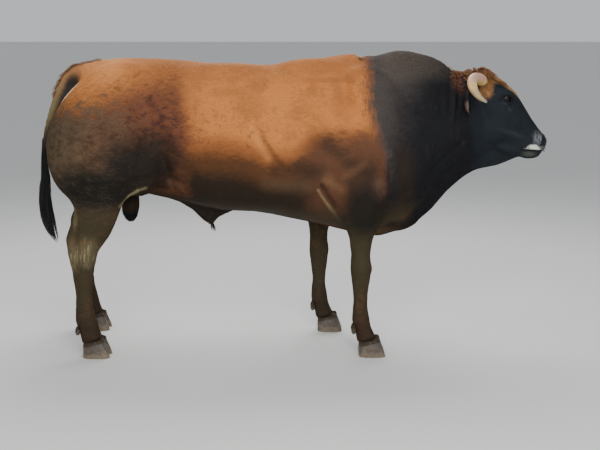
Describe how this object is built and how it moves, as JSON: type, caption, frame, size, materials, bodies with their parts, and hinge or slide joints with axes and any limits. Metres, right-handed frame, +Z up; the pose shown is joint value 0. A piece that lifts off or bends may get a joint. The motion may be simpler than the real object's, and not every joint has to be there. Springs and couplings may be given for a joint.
{
  "type": "parthenaise cattle",
  "caption": "Life-size still model of a standing Parthenaise bull with a fawn coat, dark neck and head, short curved horns, poll tuft, tail switch and nose ring.",
  "frame": {"origin": "floor level, z = 0, under the middle of the bull's bounding box", "axes": "+X forwards, towards the head; +Y to the bull's left; +Z up"},
  "size_m": [2.5609, 0.7759, 1.4898],
  "materials": {
    "coat": "short flat fawn hair, darker below and on the thighs",
    "dark_coat": "short flat near-black hair",
    "red_hair": "loose red-brown hair",
    "black_hair": "long coarse black hair",
    "horn": "cream horn, grey at the tip, satin",
    "hoof": "dark grey horn, satin",
    "eye": "wet, very dark brown",
    "steel": "worn bright steel"
  },
  "bodies": {
    "root": {"head": "dark_coat", "neck": "dark_coat", "torso": "coat", "tail": "coat", "leg_front_right": "coat", "leg_front_left": "coat", "leg_hind_right": "coat", "leg_hind_left": "coat", "ear_right": "dark_coat", "ear_left": "dark_coat", "poll_tuft": "red_hair", "tail_switch": "black_hair", "sheath_tuft": "black_hair", "horn_right": "horn", "horn_left": "horn", "eye_right": "eye", "eye_left": "eye", "nose_ring": "steel", "claw_fore_right_outer": "hoof", "claw_fore_right_inner": "hoof", "claw_fore_left_outer": "hoof", "claw_fore_left_inner": "hoof", "claw_hind_right_outer": "hoof", "claw_hind_right_inner": "hoof", "claw_hind_left_outer": "hoof", "claw_hind_left_inner": "hoof", "dewclaw_fore_right_outer": "hoof", "dewclaw_fore_right_inner": "hoof", "dewclaw_fore_left_outer": "hoof", "dewclaw_fore_left_inner": "hoof", "dewclaw_hind_right_outer": "hoof", "dewclaw_hind_right_inner": "hoof", "dewclaw_hind_left_outer": "hoof", "dewclaw_hind_left_inner": "hoof"}
  },
  "joints": []
}
